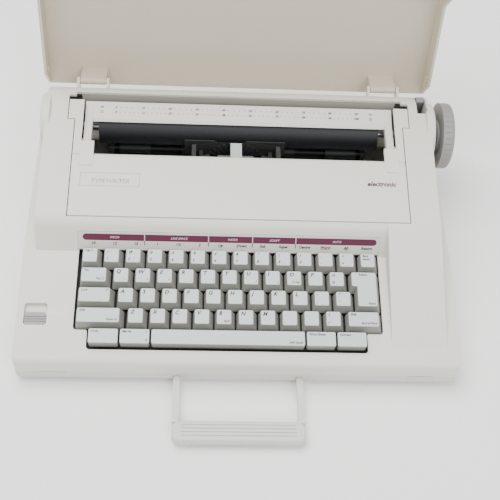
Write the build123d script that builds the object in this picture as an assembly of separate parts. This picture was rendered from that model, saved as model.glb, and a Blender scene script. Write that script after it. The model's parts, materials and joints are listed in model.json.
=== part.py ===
from build123d import *
import math
import os

# A portable daisy-wheel typewriter with a carrying lid and a pull-out handle.
# Millimetres.  X runs across the keyboard, +Y to the rear, +Z up.
# The origin is on the desk, under the middle of the case.

# ---------------------------------------------------------------- the case
case_width = 385.0
case_depth = 291.0
wall = 2.5
foot_height = 3.0
foot_radius = 9.0
base_height = 13.0          # base tray, underside to seam
base_corner = 6.0
base_chamfer = 3.5
ledge_width = 11.0          # step between the printer housing and the case side
ledge_rise = 0.0577         # how much the ledge climbs to the rear
lip_radius = 5.5
rear_radius = 10.0
post_radius = 4.2           # screw posts inside the case
screw_radius = 1.5
screw_head_radius = 3.0
screw_gap = 0.1

# ------------------------------------------------------------ the keyboard
keyboard_tilt = 11.0
key_top_height = 58.0       # back edge of the number row's key tops
keyboard_setback = 101.0    # case front to that edge
deck_drop = 7.43            # deck below the key tops
key_pitch = 19.05
first_key_left = -138.7     # left edge of the first key top in the number row
row_starts = (-0.7, 18.35, 37.4, 56.45, 75.5)
row_offsets = (19.05, 28.34, 33.27, 42.69)     # first letter or digit key of each row
row_counts = (12, 11, 11, 10)
cap_width = 12.4
cap_depth = 13.3
cap_height = 9.5
cap_draft_left = 1.7
cap_draft_right = 3.7
cap_draft_back = 1.1
cap_draft_front = 3.4
cap_wall = 1.3
key_gap = 1.5               # between the flat keys of the front row
key_travel = 3.5
stem_radius = 2.5
stem_gap = 0.08
guide_thickness = 2.5
guide_drop = 15.5           # key tops to the guide plate
stem_length = 21.5
press_gap = 0.3             # pressed stem to the membrane
sheet_thickness = 1.4
well_gap = 4.6              # well edge to the key tops beside it
well_corner = 3.0

# ------------------------------------------- the raised housing and its door
hump_top_height = 106.4     # where the slope would meet the rear fall
hump_top_from_rear = 33.5
hump_front_height = 76.5    # where the slope would meet the front face
hump_front_setback = 17.5   # behind the number row
hump_face_angle = 60.0
hump_fall = 1.126           # rear fall, height per depth
hump_roll_front = 14.0
hump_roll_rear = 28.0
hump_corner = 16.0
panel_left = 133.0          # raised panel right of the keyboard
panel_reach = 85.0          # how far it runs in front of the number row
cover_half = 153.5
cover_gap = 0.9
cover_front_setback = 22.0  # behind the number row
cover_thickness = 2.5
window_half = 146.5
window_block_inner = 134.5   # corner blocks beside the inner lip
window_block_reach = 9.0
window_from_platen = 47.0   # door's inner lip in front of the platen axis
ear_width = 6.5
ear_front = 14.0            # ahead of the door's pivots
ear_back = 6.5
pivot_radius = 2.5
pivot_gap = 0.06
cover_pivot_rise = 19.0     # above the platen axis
strip_height = 17.0
strip_thickness = 0.6

# ---------------------------------------------------- platen and paper path
platen_radius = 16.0
platen_length = 266.0
platen_height = 75.0
platen_from_rear = 55.0
shaft_radius = 4.0
boss_radius = 30.5
boss_reach = 4.5
knob_radius = 31.7
knob_width = 11.3
knob_clearance = 0.5        # knob to the case side
knob_hub_radius = 15.0
paper_gap = 1.2
pan_thickness = 1.5
pan_half = 150.0
feed_roller_radius = 5.0
feed_roller_gap = 0.3
feed_roller_length = 30.0
feed_roller_places = (-100.0, -40.0, 40.0, 100.0)
feed_angle = 245.0
cradle_thickness = 2.0
bail_bar_rise = 17.5        # bar's front edge above the platen axis
bail_arm_width = 7.0
bail_inner = 138.4
bail_pivot_rise = 12.0
bail_pivot_ahead = 31.0
bail_pin_radius = 2.0
gear_module = 1.0
gear_teeth = 40
pinion_teeth = 14
gear_width = 4.0
gear_spread = 0.1
gear_angle = -20.0
frame_inner = 168.0         # inner face of each side frame
frame_thickness = 2.0
shaft_gap = 0.06

# -------------------------------------------------------------- the carriage
carriage_x = -3.0
carriage_half = 28.0
rail_height = 22.0
rear_rail_radius = 4.0
front_rail_radius = 3.0
rear_rail_ahead = 32.5      # in front of the platen axis
front_rail_ahead = 72.0
rail_gap = 0.05
wheel_radius = 30.5
wheel_gap = 3.5             # print wheel to the platen
petal_count = 32
petal_width = 1.2
petal_thickness = 0.8
wheel_motor_size = 34.0
wheel_motor_length = 32.0
hammer_radius = 1.5
hammer_travel = 1.2
pulley_radius = 7.0
pulley_x = 156.0
belt_thickness = 1.2
belt_width = 5.0
belt_height = 31.0
belt_ahead = 90.5

# ---------------------------------------------------------- lid and its hinge
lid_side_gap = 0.7          # lid wall outside the platen bosses
lid_depth = 21.0            # shallow part of its side walls
lid_lean = 12.3             # past upright when open
lid_close_slope = 6.0       # of the closed lid towards the front
lid_hinge_from_rear = 9.5
lid_hinge_height = 91.0
lid_back = 17.3             # hinge axis to the lid's inner corner, open
lid_down = 19.5
lid_rest_gap = 1.0
lid_front_inset = 1.0
hinge_pin_radius = 1.5
hinge_pin_gap = 0.06
knuckle_radius = 3.3
lug_radius = 3.6
catch_rise = 1.6            # small snap ribs inside its side walls
catch_up = 22.0
catch_length = 6.0
tab_inner = 130.0
tab_width = 24.5
lug_width = 2.6
lug_gap = 0.7

# ------------------------------------------------------------------- handle
handle_half = 56.2
handle_arm_width = 5.5
handle_arm_height = 5.2
handle_reach = 43.0         # case front to the grip
handle_grip = 18.5
handle_gap = 0.3
handle_hook = 2.5
groove_count = 4
groove_pitch = 3.3

# ------------------------------------------------------------------ controls
switch_left = 6.5           # from the case side to the switch recess
switch_width = 19.6
switch_start = 50.0         # down the slope from the number row
switch_length = 20.4
switch_depth = 4.0
slider_length = 11.4
slider_gap = 0.4
lens_length = 11.6
lens_width = 5.6
lever_inner = 171.0
lever_width = 7.0

# ------------------------------------------------------------ worked-out values
front = -case_depth / 2
rear = case_depth / 2
half = case_width / 2
base_bottom = foot_height
seam = foot_height + base_height
floor_top = base_bottom + wall
hump_half = half - ledge_width
key_y = front + keyboard_setback
tilt = math.radians(keyboard_tilt)
platen_y = rear - platen_from_rear
hump_front_y = key_y + hump_front_setback
hump_top_y = rear - hump_top_from_rear
hump_slope = (hump_top_height - hump_front_height) / (hump_top_y - hump_front_y)
boss_face = hump_half + boss_reach
knob_face = half + knob_clearance
frame_outer = frame_inner + frame_thickness
hinge_y = rear - lid_hinge_from_rear
lid_inner_half = boss_face + lid_side_gap
lid_outer_half = lid_inner_half + wall
window_front = platen_y - window_from_platen
cover_front = key_y + cover_front_setback
table_y = platen_y + platen_radius + paper_gap
bail_pivot_y = platen_y - bail_pivot_ahead
bail_pivot_z = platen_height + bail_pivot_rise
cover_pivot_z = platen_height + cover_pivot_rise
wheel_z = platen_height - wheel_radius + 2.5
wheel_y = platen_y - platen_radius - wheel_gap
keyboard = Location((0, key_y, key_top_height), (keyboard_tilt, 0, 0))


def deck_height(y):
    """Top of the deck beside the keys, and of the ledge further back."""
    at_keys = key_top_height - deck_drop
    if y < key_y:
        return at_keys + (y - key_y) * math.tan(tilt)
    return at_keys + (y - key_y) * ledge_rise


def hump_height(y):
    """Top of the sloping printer housing."""
    return hump_front_height + (y - hump_front_y) * hump_slope


# --------------------------------------------------------------------- tools
def block(x0, x1, y0, y1, z0, z1):
    return Pos((x0 + x1) / 2, (y0 + y1) / 2, (z0 + z1) / 2) * Box(x1 - x0, y1 - y0, z1 - z0)


def rod_x(x0, x1, y, z, radius):
    return Pos((x0 + x1) / 2, y, z) * Rot(0, 90, 0) * Cylinder(radius, x1 - x0)


def rod_y(x, y0, y1, z, radius):
    return Pos(x, (y0 + y1) / 2, z) * Rot(90, 0, 0) * Cylinder(radius, y1 - y0)


def rod_z(x, y, z0, z1, radius):
    return Pos(x, y, (z0 + z1) / 2) * Cylinder(radius, z1 - z0)


def outline(corners):
    """A closed face through (a, b, radius) corners, each rounded to its radius."""
    spots = [Vector(a, b) for a, b, _ in corners]
    ends = []
    for i, (_, _, radius) in enumerate(corners):
        here = spots[i]
        back = (spots[i - 1] - here).normalized()
        ahead = (spots[(i + 1) % len(spots)] - here).normalized()
        half_turn = math.radians(back.get_angle(ahead)) / 2
        reach = radius / math.tan(half_turn)
        inward = (back + ahead).normalized()
        middle = here + inward * (radius / math.sin(half_turn) - radius)
        ends.append((here + back * reach, middle, here + ahead * reach, radius))
    edges = []
    for i, (start, middle, stop, radius) in enumerate(ends):
        if radius > 0:
            edges.append(ThreePointArc(start, middle, stop))
        edges.append(Line(stop, ends[(i + 1) % len(ends)][0]))
    return make_face(edges)


def across(face, x0, x1):
    """A (y, z) face run along X."""
    return extrude(Plane.YZ.offset(x0) * face, amount=x1 - x0, dir=(1, 0, 0))


def mirrored(solid):
    return solid + mirror(solid, about=Plane.YZ)


def pair(solid):
    """A solid and its mirror image, kept as two solids."""
    return Compound(children=[solid, mirror(solid, about=Plane.YZ)])


def save(name, shape):
    export_step(shape, f"parts/{name}.step")


# ----------------------------------------------------------------- case body
def body_profile(inset):
    face = outline([
        (front, seam - 30, 0),
        (front, deck_height(front), lip_radius),
        (key_y, deck_height(key_y), 0),
        (rear, deck_height(rear), rear_radius),
        (rear, seam - 30, 0),
    ])
    return offset(face, -inset, kind=Kind.INTERSECTION) if inset else face


def hump_profile(inset):
    foot = hump_front_height - seam
    face = outline([
        (hump_front_y - foot / math.tan(math.radians(hump_face_angle)), seam, 0),
        (hump_front_y, hump_front_height, hump_roll_front),
        (hump_top_y, hump_top_height, hump_roll_rear),
        (rear - 1, hump_top_height - (rear - 1 - hump_top_y) * hump_fall, rear_radius),
        (rear - 1, seam, 0),
    ])
    return offset(face, -inset, kind=Kind.INTERSECTION) if inset else face


def panel_profile(inset):
    tip = key_y - panel_reach
    face = outline([
        (tip, seam, 0),
        (tip, deck_height(tip) - 0.3, 0),
        (hump_front_y, hump_front_height, 0),
        (hump_front_y + 30, hump_height(hump_front_y + 30) - 1, 0),
        (hump_front_y + 30, seam, 0),
    ])
    return offset(face, -inset, kind=Kind.INTERSECTION) if inset else face


def housing(inset):
    """The case's outer form, drawn in by the inset on every side but the seam."""
    body = across(body_profile(inset), inset - half, half - inset)
    body = body & plan(half - inset, front + inset, rear - inset, base_corner, 0, 400)
    hump = across(hump_profile(inset), inset - hump_half, hump_half - inset)
    hump = hump & plan(hump_half - inset, front - 50, rear - inset, hump_corner, 0, 400)
    panel = across(panel_profile(inset), panel_left + inset, hump_half - inset)
    below = block(-half - 1, half + 1, front - 1, rear + 1, seam - 40, seam)
    return body + hump + panel - below


def plan(x_half, y0, y1, corner, z0, z1):
    sketch = RectangleRounded(2 * x_half, y1 - y0, corner)
    return extrude(Pos(0, (y0 + y1) / 2, z0) * sketch, amount=z1 - z0)


def well_outline(grow):
    """Plan of the keyboard well on the slope: u across, v up the slope."""
    left = first_key_left - well_gap
    right = first_key_left + 13 * key_pitch + cap_width + well_gap
    step = -(row_starts[4] - 1.2)
    lower_left = bottom_start - 2.0
    lower_right = bottom_end + 2.0
    bottom = -(row_starts[4] + cap_depth + 3.2)
    corners = [
        (left - grow, 3.4 + grow, 1.0),
        (left - grow, step - grow, well_corner),
        (lower_left - grow, step - grow, 1.5),
        (lower_left - grow, bottom - grow, well_corner),
        (lower_right + grow, bottom - grow, well_corner),
        (lower_right + grow, step - grow, 1.5),
        (right + grow, step - grow, well_corner),
        (right + grow, 3.4 + grow, 1.0),
    ]
    return outline(corners)


def on_slope(face, w0, w1):
    """A (u, v) face of the key plane, run from w0 to w1 along its normal."""
    return keyboard * extrude(Pos(0, 0, w0) * face, amount=w1 - w0, dir=(0, 0, 1))


def slope_box(u0, u1, v0, v1, w0, w1):
    return keyboard * block(u0, u1, v0, v1, w0, w1)


# ------------------------------------------------------- screw posts and feet
post_places = (
    (half - 11, front + 13), (11 - half, front + 13),
    (half - 9, key_y + 62), (9 - half, key_y + 62),
    (118, rear - 10), (-118, rear - 10),
)


def post_top(y):
    if y > hump_top_y:
        return hump_top_height - (y - hump_top_y) * hump_fall - 1.5
    return deck_height(y) - 1.0


def base_tray():
    tray = plan(half, front, rear, base_corner, base_bottom, seam)
    tray = chamfer(tray.faces().sort_by(Axis.Z)[0].edges(), base_chamfer)
    tray -= plan(half - wall, front + wall, rear - wall, base_corner - wall, floor_top, seam + 1)
    arm_low = handle_half - handle_arm_width - handle_gap
    slot = block(arm_low, handle_half + handle_gap, front - 1, front + wall + 1,
                 floor_top + 0.2, floor_top + 0.8 + handle_arm_height + handle_gap)
    tray -= mirrored(slot)
    notch = block(half - 45, half - 22, front - 1, front + 1.2, seam - 1.2, seam + 1)
    tray -= mirrored(notch)
    for x, y in post_places:
        tray += rod_z(x, y, floor_top - 0.5, seam - 2, post_radius)
    for x, y in post_places:
        tray -= rod_z(x, y, base_bottom - 1, seam + 1, screw_radius + screw_gap)
        tray -= rod_z(x, y, base_bottom - 1, base_bottom + 2.2, screw_head_radius + screw_gap)
    return tray


def case_screws():
    screws = []
    for x, y in post_places:
        head = rod_z(x, y, base_bottom + 0.4, base_bottom + 2.2, screw_head_radius)
        screws.append(head + rod_z(x, y, base_bottom + 2.2, seam + 9, screw_radius))
    return Compound(children=screws)


def rubber_feet():
    feet = []
    for x in (30 - half, half - 30):
        for y in (front + 25, rear - 25):
            feet.append(rod_z(x, y, 0, foot_height, foot_radius))
    # a fifth foot under the middle keeps the tray from bowing while typing
    feet.append(rod_z(0, 0, 0, foot_height, foot_radius))
    return Compound(children=feet)


# ------------------------------------------------------------------ top case
def hinge_lugs():
    """Two ears on each side of the rear slope that carry the lid's hinge pins."""
    fall = math.atan(hump_fall)
    away = Vector(math.sin(fall), math.cos(fall))
    along = Vector(math.cos(fall), -math.sin(fall))
    centre = Vector(hinge_y, lid_hinge_height)
    depth = (centre - Vector(hump_top_y, hump_top_height)).dot(away) + 1.0
    foot = centre - away * depth
    spread = along * lug_radius
    shape = outline([
        ((centre - spread).X, (centre - spread).Y, 0),
        ((centre + spread).X, (centre + spread).Y, 0),
        ((foot + spread * 1.4).X, (foot + spread * 1.4).Y, 0),
        ((foot - spread * 1.4).X, (foot - spread * 1.4).Y, 0),
    ])
    lugs = []
    for inner in (tab_inner - lug_gap - lug_width, tab_inner + tab_width + lug_gap):
        ear = across(shape, inner, inner + lug_width)
        ear += rod_x(inner, inner + lug_width, hinge_y, lid_hinge_height, lug_radius)
        ear -= rod_x(inner - 1, inner + lug_width + 1, hinge_y, lid_hinge_height, hinge_pin_radius)
        lugs.append(ear)
    return lugs


def top_case():
    shell = housing(0)
    boss = rod_x(hump_half - 4, boss_face, platen_y, platen_height, boss_radius)
    boss = fillet(boss.edges().filter_by(GeomType.CIRCLE).sort_by(Axis.X)[-1], 2.0)
    shell += mirrored(boss)
    shell -= housing(wall)
    shell -= block(-half, half, front - 1, rear + 1, 0, seam)
    # door opening and the slots for its ears
    opening = block(-cover_half - cover_gap, cover_half + cover_gap,
                    cover_front - cover_gap, table_y - 0.6, 60, 130)
    shell -= opening
    ear_slot = block(cover_half - 1, cover_half + ear_width + cover_gap,
                     platen_y - ear_front - cover_gap, platen_y + ear_back + 6, 60, 130)
    shell -= mirrored(ear_slot)
    socket = block(cover_half + ear_width + 1.4, cover_half + ear_width + 7.5,
                   platen_y - 5, platen_y + 5, cover_pivot_z - 5, hump_height(platen_y) - 1)
    socket -= rod_x(cover_half, cover_half + ear_width + 7, platen_y, cover_pivot_z,
                    pivot_radius + pivot_gap)
    shell += mirrored(socket)
    # keyboard well
    shell -= on_slope(well_outline(0), -30, 40)
    # shallow recess for the function strip on the front face of the housing
    shell -= strip_solid(0.3, 5.0)
    # paper release slot in the right rear corner
    shell -= block(lever_inner - 1.5, lever_inner + lever_width + 1.0,
                   platen_y + 2, platen_y + 34, platen_height + 8, 130)
    # power switch recess and the indicator's slot
    pocket = switch_pocket(0)
    shell += pocket & housing(0)
    shell -= switch_pocket(wall) + lens_solid(-12, 5)
    # shaft hole in the right boss
    shell -= rod_x(hump_half - 8, boss_face + 1, platen_y, platen_height, shaft_radius + 1)
    for lug in hinge_lugs():
        shell += mirrored(lug)
    for x, y in post_places:
        post = rod_z(x, y, seam - 1.6, post_top(y), post_radius)
        shell += post - rod_z(x, y, seam - 3, seam + 11, screw_radius + screw_gap)
    # inlet window in the rear wall
    shell -= inlet_block()
    return shell


def strip_solid(grow, rise):
    """The control legend plate lies on the front face of the housing."""
    angle = math.radians(hump_face_angle)
    up = Vector(math.cos(angle), math.sin(angle))
    out = Vector(-math.sin(angle), math.cos(angle))
    corner = Vector(hump_front_y, hump_front_height)
    low = corner - up * 27.6
    left = first_key_left - well_gap - 0.6
    right = first_key_left + 13 * key_pitch + cap_width + well_gap + 0.6
    a = low - up * grow - out * strip_thickness
    b = low + up * (strip_height + grow) - out * strip_thickness
    c = low + up * (strip_height + grow) + out * rise
    d = low - up * grow + out * rise
    face = outline([(p.X, p.Y, 0) for p in (a, b, c, d)])
    return across(face, left - grow, right + grow)


def switch_pocket(inset):
    left = switch_left - half
    face = outline([
        (left - wall + inset, -switch_start + wall - inset, 2.5),
        (left + switch_width + wall - inset, -switch_start + wall - inset, 2.5),
        (left + switch_width + wall - inset, -switch_start - switch_length - wall + inset, 2.5),
        (left - wall + inset, -switch_start - switch_length - wall + inset, 2.5),
    ])
    low = -deck_drop - switch_depth - wall + inset
    return on_slope(face, low, -deck_drop + (10 if inset else 0))


def power_slider():
    left = switch_left - half + slider_gap
    right = switch_left - half + switch_width - slider_gap
    low = -switch_start - switch_length + slider_gap
    face = Pos((left + right) / 2, low + slider_length / 2, 0)
    face = face * RectangleRounded(right - left, slider_length, 2.4)
    body = on_slope(face, -deck_drop - switch_depth + 0.3, -deck_drop - 0.4)
    for place in (2.4, 4.6, 6.8):
        body -= slope_box(left - 1, right + 1, low + place, low + place + 0.9,
                          -deck_drop - 1.1, -deck_drop + 1)
    return body


def lens_solid(w0, w1):
    left = switch_left - half + switch_width + 1.9
    middle = left + lens_length / 2
    face = Pos(middle, -switch_start - 9.6, 0) * SlotOverall(lens_length, lens_width)
    return on_slope(face, w0, w1)


def inlet_block():
    return block(-152, -124, rear - 16, rear + 0.4, 24, 44)


def power_inlet():
    body = inlet_block() - block(-148.5, -127.5, rear - 11, rear + 2, 27.5, 40.5)
    for x in (-142.5, -133.5):
        body += rod_y(x, rear - 12, rear - 3, 34, 1.2)
    return body


# -------------------------------------------------------------------- handle
def handle():
    arm_z = floor_top + 0.2 + handle_gap
    inner_end = front + wall + 13.5
    grip_back = front - handle_reach
    grip_front = grip_back - handle_grip
    arm = block(handle_half - handle_arm_width, handle_half, grip_back - 1, inner_end,
                arm_z, arm_z + handle_arm_height)
    arm += block(handle_half, handle_half + handle_hook, inner_end - 4, inner_end,
                 arm_z, arm_z + handle_arm_height)
    middle = (grip_front + grip_back) / 2
    face = RectangleRounded(2 * handle_half, handle_grip, 6)
    grip = extrude(Pos(0, middle, arm_z - 1.5) * face, amount=8)
    grip = fillet(grip.faces().sort_by(Axis.Z)[-1].edges(), 2)
    for i in range(groove_count):
        y = grip_front + 4 + i * groove_pitch
        grip -= block(8 - handle_half, handle_half - 8, y, y + 1.2, arm_z + 5.7, arm_z + 7)
    return mirrored(arm) + grip


# ----------------------------------------------------------------------- lid
lean = math.radians(lid_lean)
lid_corner = Vector(0, hinge_y + lid_back, lid_hinge_height - lid_down)
lid_plane = Plane(lid_corner, x_dir=(1, 0, 0), z_dir=(0, -math.cos(lean), math.sin(lean)))
hinge_a = lid_down * math.cos(lean) - lid_back * math.sin(lean)
hinge_d = lid_back * math.cos(lean) + lid_down * math.sin(lean)


def lid_spot(y, z):
    """Lid coordinates of a point of the case when the lid is shut."""
    slope = math.radians(lid_close_slope)
    up = z - lid_hinge_height
    ahead = hinge_y - y
    a = hinge_a + ahead * math.cos(slope) - up * math.sin(slope)
    d = hinge_d - ahead * math.sin(slope) - up * math.cos(slope)
    return a, d


def lid():
    nose, _ = lid_spot(front + lid_front_inset, deck_height(front) + 50)
    tips = []
    for y in (platen_y - 62.5, key_y, front + lid_front_inset):
        tips.append(lid_spot(y, deck_height(y) + lid_rest_gap))
    side = outline([
        (0, -wall, 1.5), (0, 0, 0), (lid_depth, lid_depth, 2.0), (lid_depth + 85, lid_depth, 4.0),
        (*tips[0], 5.0), (*tips[1], 0), (nose, tips[2][1], 0.5), (nose, -wall, 8.0),
    ])
    body = across(side, -lid_outer_half, lid_outer_half)
    outer = Pos(0, nose / 2, -10) * RectangleRounded(2 * lid_outer_half, nose + 60, 14)
    body = body & extrude(Pos(0, -30, 0) * outer, amount=120)
    inner = Pos(0, nose / 2 - 30 - wall / 2, 0)
    inner = inner * RectangleRounded(2 * lid_inner_half, nose + 60 - wall, 11.5)
    body -= extrude(inner, amount=120)
    catch = block(lid_inner_half - catch_rise, lid_inner_half + 0.5, catch_up,
                  catch_up + catch_length, lid_depth - 8, lid_depth - 5)
    body = body + lid_tabs() + mirrored(catch)
    return lid_plane.location * body


def lid_tabs():
    arm = block(tab_inner, tab_inner + tab_width, hinge_a - knuckle_radius,
                hinge_a + knuckle_radius, -1, hinge_d)
    arm += rod_x(tab_inner, tab_inner + tab_width, hinge_a, hinge_d, knuckle_radius)
    arm -= rod_x(tab_inner - 1, tab_inner + tab_width + 1, hinge_a, hinge_d,
                 hinge_pin_radius + hinge_pin_gap)
    return mirrored(arm)


def lid_hinge_pins():
    inner = tab_inner - lug_gap - lug_width
    outer = tab_inner + tab_width + lug_gap + lug_width
    return pair(rod_x(inner, outer, hinge_y, lid_hinge_height, hinge_pin_radius))


# -------------------------------------------------------------- ribbon cover
def ribbon_cover():
    drop = cover_thickness / math.cos(math.atan(hump_slope))

    def sheet(y0, y1, x0, x1, low=0.0):
        face = outline([
            (y0, hump_height(y0) - low, 0), (y1, hump_height(y1) - low, 0),
            (y1, hump_height(y1) - drop, 0), (y0, hump_height(y0) - drop, 0),
        ])
        return across(face, x0, x1)

    lip = outline([
        (cover_front, hump_height(cover_front), 0.6),
        (window_front, hump_height(window_front), 6.0),
        (window_front, hump_height(window_front) - 9, 0.6),
        (window_front - 2.5, hump_height(window_front) - 9, 0.6),
        (window_front - 2.5, hump_height(window_front) - drop - 0.6, 3.5),
        (cover_front, hump_height(cover_front) - drop, 0),
    ])
    door = across(lip, -cover_half, cover_half)
    strip = sheet(window_front - 4, platen_y + ear_back, window_half, cover_half)
    corner = sheet(window_front - 16, window_front + window_block_reach,
                   window_block_inner, window_half + 1, -0.8)
    ear = sheet(platen_y - ear_front, platen_y + ear_back, cover_half, cover_half + ear_width)
    leg = outline([
        (platen_y - 5, cover_pivot_z, 0), (platen_y + 5, cover_pivot_z, 0),
        (platen_y + 5, hump_height(platen_y) - 1, 0), (platen_y - 5, hump_height(platen_y) - 2, 0),
    ])
    ear += across(leg, cover_half, cover_half + ear_width)
    ear += rod_x(cover_half, cover_half + ear_width, platen_y, cover_pivot_z, 5)
    ear += rod_x(cover_half, cover_half + ear_width + 6.5, platen_y, cover_pivot_z, pivot_radius)
    return door + mirrored(strip + corner + ear)


# --------------------------------------------------------------- paper bail
def paper_bail():
    y, z = platen_y, platen_height
    bar = outline([
        (y - 7.9, z + 14.3, 0), (y - 9.3, z + 15.6, 0), (y - 6.5, z + bail_bar_rise, 1.2),
        (y + 10.0, z + 23.6, 0.6), (y + 10.0, z + 21.4, 0.6), (y - 5.0, z + 16.0, 0),
    ])
    outer = bail_inner + bail_arm_width
    bail = across(bar, -outer, outer)
    arm = outline([
        (bail_pivot_y - 3.8, bail_pivot_z - 2, 1.5), (bail_pivot_y - 3.8, bail_pivot_z + 2.5, 1.5),
        (y - 6, z + 18.5, 3.0), (y + 10.0, z + 23.6, 0.6), (y + 10.0, z + 20.4, 0.6),
        (y - 6, z + 13.0, 3.0), (bail_pivot_y + 3.8, bail_pivot_z - 3.8, 1.5),
    ])
    side = across(arm, bail_inner, outer)
    side += rod_x(bail_inner, frame_outer, bail_pivot_y, bail_pivot_z, bail_pin_radius)
    return bail + mirrored(side)


# -------------------------------------------------------------------- platen
def platen_shaft():
    return rod_x(2 - hump_half + wall, knob_face + knob_width - 3, platen_y, platen_height,
                 shaft_radius)


def platen_roller():
    tube = rod_x(-platen_length / 2, platen_length / 2, platen_y, platen_height, platen_radius)
    return tube - rod_x(-half, half, platen_y, platen_height, shaft_radius)


def platen_knob():
    knob = rod_x(knob_face, knob_face + knob_width, platen_y, platen_height, knob_radius)
    knob = fillet(knob.edges().sort_by(Axis.X)[-1], 3.5)
    knob += rod_x(knob_face - 2.3, knob_face, platen_y, platen_height, knob_hub_radius)
    for i in range(36):
        angle = math.radians(i * 10)
        y = platen_y + (knob_radius + 0.5) * math.cos(angle)
        z = platen_height + (knob_radius + 0.5) * math.sin(angle)
        knob -= rod_x(knob_face + 1.5, knob_face + knob_width, y, z, 1.1)
    return knob - rod_x(0, knob_face + knob_width - 3, platen_y, platen_height, shaft_radius)


def gear(teeth, start_angle):
    """A spur gear in the YZ plane about the origin, one tooth flank pair per notch."""
    pitch_radius = gear_module * teeth / 2
    root = pitch_radius - 1.2 * gear_module
    body = Rot(0, 90, 0) * Cylinder(root, gear_width)
    base_half = math.pi * gear_module / 4 * 1.25
    tip_half = math.pi * gear_module / 4 * 0.5
    tip = pitch_radius + 0.9 * gear_module
    tooth = Plane.YZ * Polygon((root - 1, -base_half), (tip, -tip_half), (tip, tip_half),
                               (root - 1, base_half), align=None)
    tooth = extrude(tooth, amount=gear_width / 2, both=True)
    teeth_all = [Rot(start_angle + 360 * i / teeth, 0, 0) * tooth for i in range(teeth)]
    return body + teeth_all


gear_x = (1 - hump_half + wall + 2) + gear_width / 2
gear_reach = gear_module * (gear_teeth + pinion_teeth) / 2 + gear_spread
pinion_y = platen_y + gear_reach * math.cos(math.radians(gear_angle))
pinion_z = platen_height + gear_reach * math.sin(math.radians(gear_angle))


def platen_gear():
    wheel = Pos(gear_x, platen_y, platen_height) * gear(gear_teeth, gear_angle)
    return wheel - rod_x(-half, half, platen_y, platen_height, shaft_radius)


def line_feed_pinion():
    half_tooth = 180 / pinion_teeth
    wheel = Pos(gear_x, pinion_y, pinion_z) * gear(pinion_teeth, gear_angle + 180 + half_tooth)
    return wheel + rod_x(gear_x, 6 - frame_outer, pinion_y, pinion_z, 2.0)


def line_feed_motor():
    body = rod_x(-frame_inner, -frame_inner + 17, pinion_y, pinion_z, 12)
    return body - rod_x(-frame_inner - 1, 8 - frame_outer, pinion_y, pinion_z, 2.0 + shaft_gap)


# --------------------------------------------------------------- paper path
def paper_pan():
    inner = platen_radius + paper_gap
    outer = inner + pan_thickness
    ring = rod_x(-pan_half, pan_half, platen_y, platen_height, outer)
    ring -= rod_x(-half, half, platen_y, platen_height, inner)
    ring = ring & block(-half, half, platen_y, platen_y + 40, 0, platen_height)
    wall_top = hump_height(table_y) - 5.8
    ring += block(-pan_half, pan_half, platen_y + inner, platen_y + outer, platen_height, wall_top)
    ear = block(pan_half - 1, frame_inner, platen_y + inner, platen_y + outer,
                platen_height + 9, platen_height + 17)
    return ring + mirrored(ear)


feed_reach = platen_radius + feed_roller_gap + feed_roller_radius
feed_y = platen_y + feed_reach * math.cos(math.radians(feed_angle))
feed_z = platen_height + feed_reach * math.sin(math.radians(feed_angle))
cradle_y = platen_y + 9.5
cradle_z = platen_height - 25.0


def feed_rollers():
    rollers = rod_x(-126, 126, feed_y, feed_z, 2.0)
    for x in feed_roller_places:
        rollers += rod_x(x - feed_roller_length / 2, x + feed_roller_length / 2,
                         feed_y, feed_z, feed_roller_radius)
    return rollers


def feed_cradle():
    plate = block(-124, 124, feed_y - 3, cradle_y + 2, cradle_z - 6, cradle_z - 4)
    arm = outline([
        (feed_y - 4, feed_z + 3.4, 2.0), (feed_y + 4, feed_z + 3.4, 2.0),
        (platen_y - 1.5, cradle_z + 3.5, 1.0), (cradle_y + 4, cradle_z + 3.5, 2.0), (cradle_y + 4, cradle_z - 6, 1.0),
        (feed_y - 4, cradle_z - 6, 1.0),
    ])
    side = across(arm, 120, 124)
    side -= rod_x(100, 130, feed_y, feed_z, 2.0 + shaft_gap)
    cradle = plate + mirrored(side)
    cradle += rod_x(-frame_outer, frame_outer, cradle_y, cradle_z, 2.5)
    return cradle


lever_pivot_y = platen_y + 27.0
lever_pivot_z = platen_height - 14.0


def paper_release_lever():
    shape = outline([
        (lever_pivot_y - 4.5, lever_pivot_z - 4, 2.0), (lever_pivot_y + 4.5, lever_pivot_z - 4, 2.0),
        (lever_pivot_y + 4.0, lever_pivot_z + 26, 4.0), (lever_pivot_y - 1.5, lever_pivot_z + 41, 2.0),
        (lever_pivot_y - 8.5, lever_pivot_z + 41, 2.0), (lever_pivot_y - 4.5, lever_pivot_z + 26, 4.0),
    ])
    lever = across(shape, lever_inner, lever_inner + lever_width)
    return lever + rod_x(frame_inner, lever_inner + 1, lever_pivot_y, lever_pivot_z, 2.5)


# ------------------------------------------------------- frames and carriage
rear_rail_y = platen_y - rear_rail_ahead
front_rail_y = platen_y - front_rail_ahead
belt_y = platen_y - belt_ahead


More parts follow.
